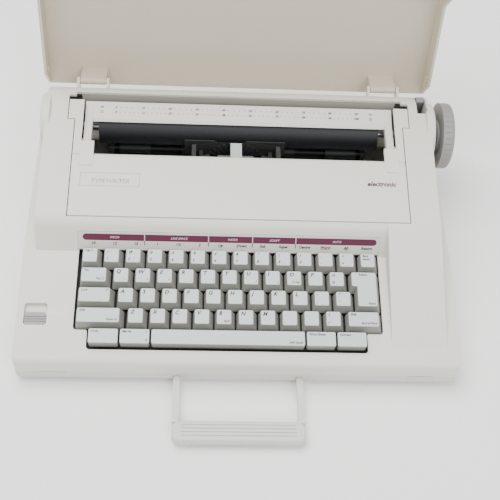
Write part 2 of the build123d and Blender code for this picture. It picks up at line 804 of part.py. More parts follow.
def side_frame(sign):
    shape = outline([
        (front_rail_y - 8.5, floor_top, 0), (front_rail_y - 8.5, 80, 4),
        (platen_y + 9.5, 98.8, 4), (rear - 17.5, 80, 4), (rear - 17.5, floor_top, 0),
    ])
    plate = across(shape, frame_inner, frame_outer)
    plate += block(frame_inner - 10, frame_outer, front_rail_y - 6, front_rail_y + 14,
                   floor_top, floor_top + 2)
    plate -= rod_x(100, half, platen_y, platen_height, shaft_radius + shaft_gap)
    plate -= rod_x(100, half, bail_pivot_y, bail_pivot_z, bail_pin_radius + shaft_gap)
    plate -= rod_x(100, half, cradle_y, cradle_z, 2.5 + shaft_gap)
    plate -= rod_x(100, half, rear_rail_y, rail_height, rear_rail_radius)
    plate -= rod_x(100, half, front_rail_y, rail_height, front_rail_radius)
    plate -= block(100, half, platen_y - 60, platen_y - 20, 36, 66)
    if sign > 0:
        return plate - rod_x(100, half, lever_pivot_y, lever_pivot_z, 2.5 + shaft_gap)
    plate = mirror(plate, about=Plane.YZ)
    return plate - rod_x(-half, -100, pinion_y, pinion_z, 2.0 + shaft_gap)


def rear_rail():
    return rod_x(-frame_outer, frame_outer, rear_rail_y, rail_height, rear_rail_radius)


def front_rail():
    return rod_x(-frame_outer, frame_outer, front_rail_y, rail_height, front_rail_radius)


motor_half = wheel_motor_size / 2
motor_front = wheel_y - 4 - wheel_motor_length


def carriage_frame():
    x0, x1 = carriage_x - carriage_half, carriage_x + carriage_half
    floor = block(x0, x1, front_rail_y - 6, rear_rail_y + 6, rail_height - 6, rail_height + 6)
    top = wheel_z + motor_half + 2
    back = block(x0, x1, motor_front - 3, motor_front, rail_height, top)
    frame = floor + back
    for low in (x0, x1 - 3):
        frame += block(low, low + 3, motor_front - 3, wheel_y - 5, rail_height, top)
    frame -= rod_x(-half, half, rear_rail_y, rail_height, rear_rail_radius + rail_gap)
    frame -= rod_x(-half, half, front_rail_y, rail_height, front_rail_radius + rail_gap)
    run = belt_y + pulley_radius
    clamp = block(carriage_x - 8, carriage_x + 8, run - 3, front_rail_y - 5.5,
                  rail_height - 2, belt_height + belt_width)
    clamp -= block(-half, half, run - 0.4, run + belt_thickness + 0.4,
                   belt_height - belt_width / 2 - 0.4, belt_height + belt_width / 2 + 0.4)
    hold = block(carriage_x - 8, carriage_x + 8, motor_front - 9, motor_front - 2.5,
                 wheel_z + motor_half - 6, top)
    return frame + clamp + hold


def daisy_motor():
    body = block(carriage_x - motor_half, carriage_x + motor_half, motor_front, wheel_y - 4,
                 rail_height + 6, wheel_z + motor_half)
    return body - rod_y(carriage_x, wheel_y - 24, wheel_y, wheel_z, 2.5 + shaft_gap)


def daisy_wheel():
    hub = rod_y(carriage_x, wheel_y - 1.5, wheel_y + 0.4, wheel_z, 9)
    hub += rod_y(carriage_x, wheel_y - 22, wheel_y, wheel_z, 2.5)
    petals = []
    for i in range(petal_count):
        spoke = Pos(0, 0, (wheel_radius + 8) / 2) * Box(petal_width, petal_thickness,
                                                        wheel_radius - 8)
        slug = Pos(0, 0, wheel_radius - 1.6) * Box(2.6, petal_thickness, 3.2)
        turn = Pos(carriage_x, wheel_y, wheel_z) * Rot(0, 360 * i / petal_count, 0)
        petals.append(turn * (spoke + slug))
    return hub + petals


def hammer_coil():
    top = wheel_z + motor_half
    body = block(carriage_x - 5.5, carriage_x + 5.0, wheel_y - 25, wheel_y - 5, top,
                 platen_height + 7)
    return body - rod_y(carriage_x, wheel_y - 16, wheel_y, platen_height, hammer_radius + shaft_gap)


def print_hammer():
    return rod_y(carriage_x, wheel_y - 15.5, wheel_y - 0.6 - hammer_travel, platen_height,
                 hammer_radius)


def card_guide():
    left, right = carriage_x - 49, carriage_x + 47
    plate = block(left, right, wheel_y + 1.4, wheel_y + 2.4, platen_height - 17,
                  platen_height + 2.5)
    notch = Plane.XZ * Polygon((carriage_x - 22, platen_height + 3), (carriage_x - 5, platen_height - 9),
                               (carriage_x + 5, platen_height - 9),
                               (carriage_x + 10, platen_height + 3), align=None)
    plate -= extrude(Pos(0, wheel_y, 0) * notch, amount=10, both=True)
    for sign in (-1, 1):
        near = carriage_x + sign * carriage_half
        far = near + sign * 7
        mid = near + sign * 3.6
        a, b = min(near, far), max(near, far)
        plate += block(a, b, wheel_y - 11, wheel_y - 5, platen_height - 17, platen_height - 10)
        a, b = min(mid, far), max(mid, far)
        plate += block(a, b, wheel_y - 6, wheel_y + 1.5, platen_height - 17, platen_height - 10)
    return plate


cassette_half = 42.0


def ribbon_cassette():
    low = wheel_z + motor_half + 4
    body = block(carriage_x - cassette_half, carriage_x + cassette_half, motor_front - 19,
                 motor_front + 8, low, low + 12)
    body = fillet(body.edges().filter_by(Axis.Z), 4)
    for sign in (-1, 1):
        x = carriage_x + sign * (cassette_half - 2)
        body += block(x - 2, x + 2, motor_front + 3, wheel_y - 3, low + 2, low + 9)
    body += block(carriage_x - 20, carriage_x + 20, motor_front - 9, motor_front - 2.5, low - 2, low)
    return body


def ribbon():
    reach = cassette_half - 2
    low = wheel_z + motor_half + 6.5
    near, far = wheel_y - 3, wheel_y + 0.8
    path = Polygon((-reach - 2, near), (-17, far), (17, far), (reach + 2, near),
                   (reach + 2, near + 0.2), (17, far + 0.2), (-17, far + 0.2),
                   (-reach - 2, near + 0.2), align=None)
    return extrude(Pos(carriage_x, 0, low) * path, amount=6)


def carriage_motor():
    body = rod_z(pulley_x, belt_y, floor_top, belt_height - 6, 11)
    return body - rod_z(pulley_x, belt_y, 12, belt_height, 2.0 + shaft_gap)


def pulley(x, bore):
    drum = rod_z(x, belt_y, belt_height - belt_width / 2 - 0.5, belt_height + belt_width / 2 + 0.5,
                 pulley_radius - 0.05)
    for z in (belt_height - belt_width / 2 - 1.5, belt_height + belt_width / 2 + 0.5):
        drum += rod_z(x, belt_y, z, z + 1, pulley_radius + 1)
    return drum - rod_z(x, belt_y, 0, 60, bore) if bore else drum


def drive_pulley():
    return pulley(pulley_x, 0) + rod_z(pulley_x, belt_y, 14, belt_height, 2.0)


def idler_pulley():
    return pulley(-pulley_x, 3.0 + shaft_gap)


def carriage_belt():
    long_side = 2 * (pulley_x + pulley_radius + belt_thickness)
    outer = SlotOverall(long_side, 2 * (pulley_radius + belt_thickness))
    inner = SlotOverall(long_side - 2 * belt_thickness, 2 * pulley_radius)
    return extrude(Pos(0, belt_y, belt_height - belt_width / 2) * (outer - inner), amount=belt_width)


def circuit_board():
    board = block(-70, 120, belt_y - 32, belt_y - 12, 10, 11.6)
    for x in (-65, 25, 115):
        for y in (belt_y - 29, belt_y - 15):
            board += rod_z(x, y, floor_top, 10.5, 2.5)
    for x in (-45, -10, 50, 85):
        board += block(x, x + 22, belt_y - 27, belt_y - 17, 11.5, 15)
    return board


def transformer():
    core = block(-105, -55, rear - 39.5, rear - 7.5, floor_top, 36)
    core += block(-98, -62, rear - 36, rear - 11, 35, 42)
    return core


# ------------------------------------------------------------------ keyboard
def cap_form(box, shrink, w0, w1, straight=False):
    """A key cap's outer or inner form; the box is left, right, top and bottom of its top face."""
    left, right, top, bottom = box
    drafts = (0, 0, 0, 0)
    if not straight:
        drafts = (cap_draft_left, cap_draft_right, cap_draft_back, cap_draft_front)
    wide = right - left - 2 * shrink
    deep = bottom - top - 2 * shrink
    middle = Vector((left + right) / 2, -(top + bottom) / 2)
    shift = Vector((drafts[1] - drafts[0]) / 2, (drafts[2] - drafts[3]) / 2)
    upper = RectangleRounded(wide, deep, 1.6 - shrink / 2)
    lower = RectangleRounded(wide + drafts[0] + drafts[1], deep + drafts[2] + drafts[3],
                             1.9 - shrink / 2)
    foot = middle + shift
    return loft([Pos(middle.X, middle.Y, w0) * upper, Pos(foot.X, foot.Y, w1) * lower])


def cap(box, straight=False):
    solid = cap_form(box, 0, 0, -cap_height, straight)
    solid = fillet(solid.faces().sort_by(Axis.Z)[-1].edges(), 0.7)
    return solid - cap_form(box, cap_wall, -cap_wall, -cap_height, straight)


def return_cap():
    """The L-shaped Return cap, joined from an upper and a lower form."""
    outer = cap_form(return_upper, 0, 0, -cap_height) + cap_form(return_lower, 0, 0, -cap_height)
    inner = cap_form(return_upper, cap_wall, -cap_wall, -cap_height)
    inner += cap_form(return_lower, cap_wall, -cap_wall, -cap_height)
    return outer - inner


def stem(u, v):
    top = 0.4 - cap_wall
    return Pos(u, v, (top - stem_length) / 2) * Cylinder(stem_radius, stem_length + top)


def key_centre(left, right, top, bottom):
    return (left + right) / 2 + 0.5, -(top + bottom) / 2 - 0.5


def row_span(row):
    return row_starts[row], row_starts[row] + cap_depth


def letter_key(row, place):
    left = first_key_left + row_offsets[row] + place * key_pitch
    return left, left + cap_width, *row_span(row)


key_left_edge = first_key_left
key_right_edge = first_key_left + 13 * key_pitch + cap_width
bottom_start = key_left_edge + 9.7
bottom_end = key_right_edge - 11.65
bottom_width = 25.2

special_keys = {
    "tab_set_key": (key_left_edge, key_left_edge + cap_width, *row_span(0)),
    "back_space_key": (key_right_edge - cap_width, key_right_edge, *row_span(0)),
    "tab_key": (key_left_edge, key_left_edge + 21.4, *row_span(1)),
    "lock_key": (key_left_edge - 1.0, key_left_edge + 25.7, *row_span(2)),
    "left_shift_key": (key_left_edge - 1.3, key_left_edge + 35.0, *row_span(3)),
    "right_shift_key": (key_right_edge - 26.3, key_right_edge, *row_span(3)),
}
flat_keys = {
    "code_key": (bottom_start, bottom_start + bottom_width),
    "margin_key": (bottom_start + bottom_width + key_gap, bottom_start + 2 * bottom_width + key_gap),
    "space_bar": (bottom_start + 2 * (bottom_width + key_gap), bottom_end - 2 * (bottom_width + key_gap)),
    "erase_key": (bottom_end - 2 * bottom_width - key_gap, bottom_end - bottom_width - key_gap),
    "correct_key": (bottom_end - bottom_width, bottom_end),
}
return_upper = (key_right_edge - 21.7, key_right_edge, row_starts[1], row_starts[1] + cap_depth)
return_lower = (key_right_edge - 16.9, key_right_edge, row_starts[1], row_starts[2] + cap_depth)


def stem_places():
    places = {}
    for row, count in enumerate(row_counts):
        for place in range(count):
            places[f"row {row} {place}"] = [key_centre(*letter_key(row, place))]
    for name, box in special_keys.items():
        places[name] = [key_centre(*box)]
    for name, (left, right) in flat_keys.items():
        u, v = key_centre(left, right, *row_span(4))
        spread = (right - left) / 3 if name == "space_bar" else 0
        places[name] = [(u - spread, v), (u + spread, v)] if spread else [(u, v)]
    places["return_key"] = [key_centre(*return_lower)]
    return places


stems = stem_places()


def letter_row(row):
    box = letter_key(row, 0)
    one = cap(box) + stem(*key_centre(*box))
    return Compound(children=[keyboard * (Pos(i * key_pitch, 0, 0) * one)
                              for i in range(row_counts[row])])


def finished_key(name, body):
    for u, v in stems[name]:
        body = body + stem(u, v)
    return keyboard * body


plate_left = first_key_left - well_gap - 6
plate_right = key_right_edge + well_gap + 5
plate_front = -(row_starts[4] + cap_depth + 7.5)


def key_guide_plate():
    under_deck = -deck_drop - wall
    plate = block(plate_left, plate_right, plate_front, 6, -guide_drop - guide_thickness, -guide_drop)
    for x0 in (plate_left, plate_right - 2.2):
        plate += block(x0, x0 + 2.2, plate_front, -4, -guide_drop - 1, under_deck)
    plate += block(plate_left, plate_right, plate_front, plate_front + 2.2, -guide_drop - 1, under_deck)
    membrane = -stem_length - key_travel - press_gap
    for u in (plate_left + 4, plate_right - 4):
        for v in (2, plate_front + 4):
            post = (membrane - guide_drop - guide_thickness) / 2
            length = -guide_drop - guide_thickness - membrane
            plate += Pos(u, v, post + 0.25) * Cylinder(3, length + 0.5)
    for spots in stems.values():
        for u, v in spots:
            plate -= Pos(u, v, -guide_drop) * Cylinder(stem_radius + stem_gap, 4 * guide_thickness)
    return keyboard * plate


def membrane_sheet():
    top = -stem_length - key_travel - press_gap
    return keyboard * block(plate_left, plate_right, plate_front, 6, top - sheet_thickness, top)


def contact_board():
    top = -stem_length - key_travel - press_gap - sheet_thickness
    return keyboard * block(plate_left, plate_right, plate_front, 6, top - 1.5, top)


# -------------------------------------------------------------------- export
nodes = {
    "base_tray": base_tray,
    "case_screws": case_screws,
    "rubber_feet": rubber_feet,
    "top_case": top_case,
    "power_slider": power_slider,
    "power_inlet": power_inlet,
    "handle": handle,
    "lid": lid,
    "lid_hinge_pins": lid_hinge_pins,
    "ribbon_cover": ribbon_cover,
    "paper_bail": paper_bail,
    "platen_shaft": platen_shaft,
    "platen_roller": platen_roller,
    "platen_knob": platen_knob,
    "platen_gear": platen_gear,
    "line_feed_pinion": line_feed_pinion,
    "line_feed_motor": line_feed_motor,
    "paper_pan": paper_pan,
    "feed_rollers": feed_rollers,
    "feed_cradle": feed_cradle,
    "paper_release_lever": paper_release_lever,
    "rear_rail": rear_rail,
    "front_rail": front_rail,
    "carriage_frame": carriage_frame,
    "daisy_motor": daisy_motor,
    "daisy_wheel": daisy_wheel,
    "hammer_coil": hammer_coil,
    "print_hammer": print_hammer,
    "card_guide": card_guide,
    "ribbon_cassette": ribbon_cassette,
    "ribbon": ribbon,
    "carriage_motor": carriage_motor,
    "drive_pulley": drive_pulley,
    "idler_pulley": idler_pulley,
    "carriage_belt": carriage_belt,
    "circuit_board": circuit_board,
    "transformer": transformer,
    "key_guide_plate": key_guide_plate,
    "membrane_sheet": membrane_sheet,
    "contact_board": contact_board,
}

os.makedirs("parts", exist_ok=True)
for name, make in nodes.items():
    save(name, make())
save("function_strip", strip_solid(0, 0))
save("power_indicator", lens_solid(-deck_drop - wall, -deck_drop + 0.3))
save("left_frame", side_frame(-1))
save("right_frame", side_frame(1))
for row, name in enumerate(("digit_keys", "top_letter_keys", "home_letter_keys", "bottom_letter_keys")):
    save(name, letter_row(row))
for name, box in special_keys.items():
    save(name, finished_key(name, cap(box)))
for name, (left, right) in flat_keys.items():
    save(name, finished_key(name, cap((left, right, *row_span(4)), straight=True)))
save("return_key", finished_key("return_key", return_cap()))
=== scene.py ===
import json
import math

import bmesh
import bpy
from mathutils import Matrix, Vector


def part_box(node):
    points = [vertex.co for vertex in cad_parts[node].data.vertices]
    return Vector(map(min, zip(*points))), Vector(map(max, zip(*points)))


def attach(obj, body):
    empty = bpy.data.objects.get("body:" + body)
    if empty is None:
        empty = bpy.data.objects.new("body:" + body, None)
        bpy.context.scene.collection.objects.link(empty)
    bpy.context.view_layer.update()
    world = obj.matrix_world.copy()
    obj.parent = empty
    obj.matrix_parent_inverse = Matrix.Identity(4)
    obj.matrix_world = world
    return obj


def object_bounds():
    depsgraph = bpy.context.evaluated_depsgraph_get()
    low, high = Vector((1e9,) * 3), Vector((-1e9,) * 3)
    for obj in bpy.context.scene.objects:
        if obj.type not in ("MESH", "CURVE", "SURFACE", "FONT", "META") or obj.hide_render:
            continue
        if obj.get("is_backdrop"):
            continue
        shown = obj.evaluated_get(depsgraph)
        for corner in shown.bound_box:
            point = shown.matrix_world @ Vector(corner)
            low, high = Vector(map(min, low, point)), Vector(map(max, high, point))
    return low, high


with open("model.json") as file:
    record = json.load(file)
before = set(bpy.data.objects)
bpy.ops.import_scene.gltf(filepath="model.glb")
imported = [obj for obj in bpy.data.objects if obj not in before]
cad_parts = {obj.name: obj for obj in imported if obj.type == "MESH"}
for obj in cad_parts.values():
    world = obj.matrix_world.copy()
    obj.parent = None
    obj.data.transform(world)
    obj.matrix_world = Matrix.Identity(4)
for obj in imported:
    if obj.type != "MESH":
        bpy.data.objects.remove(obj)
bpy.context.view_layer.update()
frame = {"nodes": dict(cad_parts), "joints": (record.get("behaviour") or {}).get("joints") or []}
nodes = frame["nodes"]

# ---------------------------------------------------------------------------
# The studio: a plain pale floor and soft light from large panels overhead.
# The camera looks down over the keyboard from the typist's side.
# ---------------------------------------------------------------------------


def linear(hex_colour):
    """An sRGB hex colour as linear RGBA."""
    raw = [int(hex_colour[i:i + 2], 16) / 255 for i in (1, 3, 5)]
    return [c / 12.92 if c <= 0.04045 else ((c + 0.055) / 1.055) ** 2.4 for c in raw] + [1.0]


def add_node(tree, kind, links=None, **settings):
    """Adds a node. Settings name its properties or its input sockets, and links its fed sockets."""
    node = tree.nodes.new(kind)
    for key, value in settings.items():
        if hasattr(node, key):
            setattr(node, key, value)
        else:
            node.inputs[key.replace("_", " ")].default_value = value
    for key, source in (links or {}).items():
        tree.links.new(source, node.inputs[key])
    return node


def new_material(name):
    material = bpy.data.materials.new(name)
    material.use_nodes = True
    material.node_tree.nodes.clear()
    return material, material.node_tree


floor_material, tree = new_material("matte_paper_floor")
place = add_node(tree, "ShaderNodeTexCoord")
mottle = add_node(tree, "ShaderNodeTexNoise", {"Vector": place.outputs["Object"]}, Scale=6.0, Detail=3.0)
tone = add_node(tree, "ShaderNodeMix", {"Factor": mottle.outputs["Fac"]}, data_type="RGBA")
tone.inputs["A"].default_value = linear("#f6f6f5")
tone.inputs["B"].default_value = linear("#fbfbfa")
shade = add_node(tree, "ShaderNodeBsdfPrincipled", {"Base Color": tone.outputs["Result"]}, Roughness=0.9)
add_node(tree, "ShaderNodeOutputMaterial", {"Surface": shade.outputs[0]})

floor_mesh = bpy.data.meshes.new("floor")
reach = 6.0
floor_mesh.from_pydata([(-reach, -reach, 0), (reach, -reach, 0), (reach, reach, 0), (-reach, reach, 0)],
                       [], [(0, 1, 2, 3)])
floor = bpy.data.objects.new("floor", floor_mesh)
floor.data.materials.append(floor_material)
bpy.context.scene.collection.objects.link(floor)
floor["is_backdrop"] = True

world = bpy.data.worlds.new("soft_room")
world.use_nodes = True
world.node_tree.nodes["Background"].inputs["Color"].default_value = linear("#ffffff")
world.node_tree.nodes["Background"].inputs["Strength"].default_value = 0.85
bpy.context.scene.world = world


def panel_light(name, place, target, size, watts):
    data = bpy.data.lights.new(name, "AREA")
    data.shape = "RECTANGLE"
    data.size, data.size_y = size
    data.energy = watts
    lamp = bpy.data.objects.new(name, data)
    lamp.location = place
    lamp.rotation_mode = "QUATERNION"
    lamp.rotation_quaternion = (Vector(target) - Vector(place)).to_track_quat("-Z", "Y")
    bpy.context.scene.collection.objects.link(lamp)


panel_light("overhead_panel", (-0.5, 0.35, 2.0), (0, 0, 0.05), (1.8, 1.4), 62)
panel_light("front_panel", (0.7, -1.6, 1.7), (0, 0, 0.05), (1.4, 1.0), 26)

elevation, yaw, roll = math.radians(52.36), math.radians(-5.33), math.radians(5.43)
back = Vector((math.sin(yaw) * math.cos(elevation), -math.cos(yaw) * math.cos(elevation),
               math.sin(elevation)))
level = Vector((math.cos(yaw), math.sin(yaw), 0))
rise = back.cross(level)
right = math.cos(roll) * level + math.sin(roll) * rise
up = math.cos(roll) * rise - math.sin(roll) * level
camera_data = bpy.data.cameras.new("desk_camera")
camera_data.sensor_width = 36.0
camera_data.lens = 67.53
camera_data.clip_start, camera_data.clip_end = 0.02, 30.0
camera = bpy.data.objects.new("desk_camera", camera_data)
turn = Matrix((right, up, back)).transposed().to_4x4()
camera.matrix_world = Matrix.Translation(Vector((-0.0384, -0.5538, 0.7240))) @ turn
bpy.context.scene.collection.objects.link(camera)
bpy.context.scene.camera = camera

# ---------------------------------------------------------------------------
# The case: an upper shell and a base tray of injection-moulded ABS, screwed
# together at the seam, and the ribbon cover and paper bail from the same shot.
# The moulds are spark-eroded, so the cream plastic has a fine even grain.
# ---------------------------------------------------------------------------


def moulded(name, colour, aged, roughness, grain_mm, relief_mm, specular=0.4):
    """Moulded plastic: spark-eroded grain in the surface and slow drifts of colour and gloss."""
    material, tree = new_material(name)
    place = add_node(tree, "ShaderNodeTexCoord")
    drift = add_node(tree, "ShaderNodeTexNoise", {"Vector": place.outputs["Object"]}, Scale=14.0,
                     Detail=4.0, Roughness=0.6)
    speck = add_node(tree, "ShaderNodeTexNoise", {"Vector": place.outputs["Object"]},
                     Scale=1000 / (3 * grain_mm), Detail=2.0)
    blend = add_node(tree, "ShaderNodeMath", {0: drift.outputs["Fac"], 1: speck.outputs["Fac"]},
                     operation="MULTIPLY_ADD")
    blend.inputs[2].default_value = 0.1
    tone = add_node(tree, "ShaderNodeMix", {"Factor": blend.outputs[0]}, data_type="RGBA")
    tone.inputs["A"].default_value = linear(colour)
    tone.inputs["B"].default_value = linear(aged)
    gloss = add_node(tree, "ShaderNodeMapRange", {"Value": drift.outputs["Fac"]})
    gloss.inputs["To Min"].default_value = roughness - 0.06
    gloss.inputs["To Max"].default_value = roughness + 0.06
    grain = add_node(tree, "ShaderNodeTexVoronoi", {"Vector": place.outputs["Object"]},
                     Scale=1000 / grain_mm, feature="SMOOTH_F1")
    bump = add_node(tree, "ShaderNodeBump", {"Height": grain.outputs["Distance"]}, Strength=0.35,
                    Distance=relief_mm / 1000)
    shade = add_node(tree, "ShaderNodeBsdfPrincipled",
                     {"Base Color": tone.outputs["Result"], "Roughness": gloss.outputs[0],
                      "Normal": bump.outputs[0]}, IOR=1.53)
    shade.inputs["Specular IOR Level"].default_value = specular
    add_node(tree, "ShaderNodeOutputMaterial", {"Surface": shade.outputs[0]})
    return material


def finish_node(name, material):
    """Gives a CAD node its material."""
    mesh = nodes[name].data
    mesh.materials.clear()
    mesh.materials.append(material)


cream_abs = moulded("spark_grained_cream_abs", "#dddcd3", "#d3d1c6", 0.5, 0.55, 0.05)
base_abs = moulded("spark_grained_base_abs", "#d4d4cd", "#c8c7bf", 0.52, 0.55, 0.05)
for name in ("top_case", "ribbon_cover"):
    finish_node(name, cream_abs)
for name in ("base_tray", "handle"):
    finish_node(name, base_abs)
bail_abs = moulded("smooth_cream_abs", "#dcd9d2", "#d4d0c8", 0.42, 0.5, 0.02)
finish_node("paper_bail", bail_abs)

# ---------------------------------------------------------------------------
# The carrying lid: one deep moulded shell of beige ABS, a shade warmer than the
# case. It turns on two steel pins between the ears at the case's rear.
# ---------------------------------------------------------------------------
lid_abs = moulded("fine_grained_beige_abs", "#cfc6b4", "#c6bca8", 0.48, 0.6, 0.05)
finish_node("lid", lid_abs)


# ---------------------------------------------------------------------------
# The metal inside: ground steel rods and pins, zinc-plated side frames and motor
# cans. Fine drawing or rolling lines run along X and break up the reflection.
# ---------------------------------------------------------------------------


def brushed_metal(name, colour, roughness, line_mm):
    """Steel, drawn or rolled: fine lines run one way and break the reflection."""
    material, tree = new_material(name)
    place = add_node(tree, "ShaderNodeTexCoord")
    stretch = add_node(tree, "ShaderNodeMapping", {"Vector": place.outputs["Object"]})
    stretch.inputs["Scale"].default_value = (20, 1000 / line_mm, 1000 / line_mm)
    lines = add_node(tree, "ShaderNodeTexNoise", {"Vector": stretch.outputs[0]}, Scale=1.0, Detail=3.0)
    gloss = add_node(tree, "ShaderNodeMapRange", {"Value": lines.outputs["Fac"]})
    gloss.inputs["To Min"].default_value = roughness - 0.08
    gloss.inputs["To Max"].default_value = roughness + 0.1
    bump = add_node(tree, "ShaderNodeBump", {"Height": lines.outputs["Fac"]}, Strength=0.2,
                    Distance=0.00003)
    shade = add_node(tree, "ShaderNodeBsdfPrincipled",
                     {"Roughness": gloss.outputs[0], "Normal": bump.outputs[0]}, Metallic=1.0)
    shade.inputs["Base Color"].default_value = linear(colour)
    add_node(tree, "ShaderNodeOutputMaterial", {"Surface": shade.outputs[0]})
    return material


pin_steel = brushed_metal("ground_steel", "#b9babb", 0.3, 0.3)
zinc_sheet = brushed_metal("zinc_plated_sheet", "#9c9e9f", 0.42, 0.6)
for name in ("lid_hinge_pins", "rear_rail", "front_rail", "platen_shaft", "print_hammer"):
    finish_node(name, pin_steel)
for name in ("left_frame", "right_frame", "case_screws", "carriage_motor", "line_feed_motor",
             "daisy_motor"):
    finish_node(name, zinc_sheet)

# ---------------------------------------------------------------------------
# The keys: hollow caps of grey plastic on round stems. The tops are a little rough
# from the mould. The paler tops and darker grey skirts are painted light and shade from above.
# ---------------------------------------------------------------------------
tilt = math.radians(11)
key_normal = Vector((0, -math.sin(tilt), math.cos(tilt)))
key_up = Vector((0, math.cos(tilt), math.sin(tilt)))

key_plastic, tree = new_material("key_plastic_painted_top_light_skirt_shade")
place = add_node(tree, "ShaderNodeTexCoord")
facing = add_node(tree, "ShaderNodeNewGeometry")
local = add_node(tree, "ShaderNodeVectorTransform", {"Vector": facing.outputs["Normal"]},
                 vector_type="NORMAL", convert_from="WORLD", convert_to="OBJECT")
slope = add_node(tree, "ShaderNodeVectorMath", {0: local.outputs[0]}, operation="DOT_PRODUCT")
slope.inputs[1].default_value = key_normal
# Painted light and shade: faces turned along the key normal get the paler top colour, steeper faces the
# skirt colour.
lit_top_mask = add_node(tree, "ShaderNodeMapRange", {"Value": slope.outputs["Value"]})
lit_top_mask.inputs["From Min"].default_value = 0.55
lit_top_mask.inputs["From Max"].default_value = 0.9
skirt_drift = add_node(tree, "ShaderNodeTexNoise", {"Vector": place.outputs["Object"]}, Scale=60.0,
                       Detail=3.0)
# The skirt greys are painted shade, the side shading of light from above.
skirt = add_node(tree, "ShaderNodeMix", {"Factor": skirt_drift.outputs["Fac"]}, data_type="RGBA")
skirt.inputs["A"].default_value = linear("#94948e")
skirt.inputs["B"].default_value = linear("#8a8a85")
tone = add_node(tree, "ShaderNodeMix", {"Factor": lit_top_mask.outputs[0], "A": skirt.outputs["Result"]},
                data_type="RGBA")
tone.inputs["B"].default_value = linear("#c3c8c8")
grain = add_node(tree, "ShaderNodeTexNoise", {"Vector": place.outputs["Object"]}, Scale=2500.0, Detail=2.0)
bump = add_node(tree, "ShaderNodeBump", {"Height": grain.outputs["Fac"]}, Strength=0.3, Distance=0.00004)
shade = add_node(tree, "ShaderNodeBsdfPrincipled",
                 {"Base Color": tone.outputs["Result"], "Normal": bump.outputs[0]}, Roughness=0.45, IOR=1.5)
add_node(tree, "ShaderNodeOutputMaterial", {"Surface": shade.outputs[0]})

key_bodies = [j["child"] for j in frame["joints"] if j["name"].endswith("_press")]
for name in key_bodies:
    finish_node(name, key_plastic)

# ---------------------------------------------------------------------------
# The legends: pad-printed ink on the key tops, slanted capitals in near-black
# with the second functions smaller in grey-green or plum.
# ---------------------------------------------------------------------------


def ink(name, colour):
    """Printed ink: an even dark film with a slightly broken edge of gloss."""
    material, tree = new_material(name)
    place = add_node(tree, "ShaderNodeTexCoord")
    pores = add_node(tree, "ShaderNodeTexNoise", {"Vector": place.outputs["Object"]}, Scale=3000.0)
    gloss = add_node(tree, "ShaderNodeMapRange", {"Value": pores.outputs["Fac"]})
    gloss.inputs["To Min"].default_value = 0.35
    gloss.inputs["To Max"].default_value = 0.6
    shade = add_node(tree, "ShaderNodeBsdfPrincipled", {"Roughness": gloss.outputs[0]})
    shade.inputs["Base Color"].default_value = linear(colour)
    add_node(tree, "ShaderNodeOutputMaterial", {"Surface": shade.outputs[0]})
    return material


inks = {"black": ink("black_pad_ink", "#121214"), "grey": ink("grey_green_pad_ink", "#4c564f"),
        "plum": ink("plum_pad_ink", "#5a2743"), "white": ink("white_screen_ink", "#cfaebd"),
        "burgundy": ink("burgundy_screen_ink", "#561233"), "silver": ink("silver_foil_ink", "#a3a39e")}


def print_piece(name, body, items, origin, across, upward, lift=0.00006):
    """Printed words as one flat mesh. Items are (words, ink, size mm, u mm, v mm, align)."""
    normal = across.cross(upward)
    shapes = bmesh.new()
    used = []
    for words, colour, size, u, v, align in items:
        if colour not in used:
            used.append(colour)
        curve = bpy.data.curves.new("words", "FONT")
        curve.body = words
        curve.size = size / 1000
        curve.shear = 0.25
        curve.align_x = align
        curve.resolution_u = 2
        curve.offset = size / 1000 * (0.02 if colour in ("white", "silver") else 0.034)
        holder = bpy.data.objects.new("words", curve)
        bpy.context.scene.collection.objects.link(holder)
        bpy.context.view_layer.update()
        flat = bpy.data.meshes.new_from_object(holder)
        first = len(shapes.faces)
        shapes.from_mesh(flat)
        shapes.verts.ensure_lookup_table()
        shapes.faces.ensure_lookup_table()
        spot = origin + across * (u / 1000) + upward * (v / 1000) + normal * lift
        fresh = shapes.verts[len(shapes.verts) - len(flat.vertices):]
        for vertex in fresh:
            x, y, _ = vertex.co
            vertex.co = spot + across * x + upward * y
        for face in shapes.faces[first:]:
            face.material_index = used.index(colour)
        bpy.data.objects.remove(holder)
        bpy.data.curves.remove(curve)
        bpy.data.meshes.remove(flat)
    mesh = bpy.data.meshes.new(name)
    shapes.to_mesh(mesh)
    shapes.free()
    for colour in used:
        mesh.materials.append(inks[colour])
    piece = bpy.data.objects.new(name, mesh)
    bpy.context.scene.collection.objects.link(piece)
    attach(piece, body)
    return piece


def key_tops(name):
    """The flat tops of a key node, left to right, and their plane.

    Each top is (left, right, front, back) in mm along the key plane.
    """
    least_gap = 4.5         # mm between the tops of neighbouring caps, at the least
    spots = [v.co for v in nodes[name].data.vertices]
    height = max(p.dot(key_normal) for p in spots)
    tops = sorted((p.x * 1000, p.dot(key_up) * 1000) for p in spots if p.dot(key_normal) > height - 5e-5)
    groups = [[tops[0]]]
    for spot in tops[1:]:
        if name.endswith("_keys") and spot[0] - groups[-1][-1][0] > least_gap:
            groups.append([])
        groups[-1].append(spot)
    boxes = []
    for group in groups:
        us, vs = zip(*group)
        boxes.append((min(us), max(us), min(vs), max(vs)))
    return boxes, key_normal * height


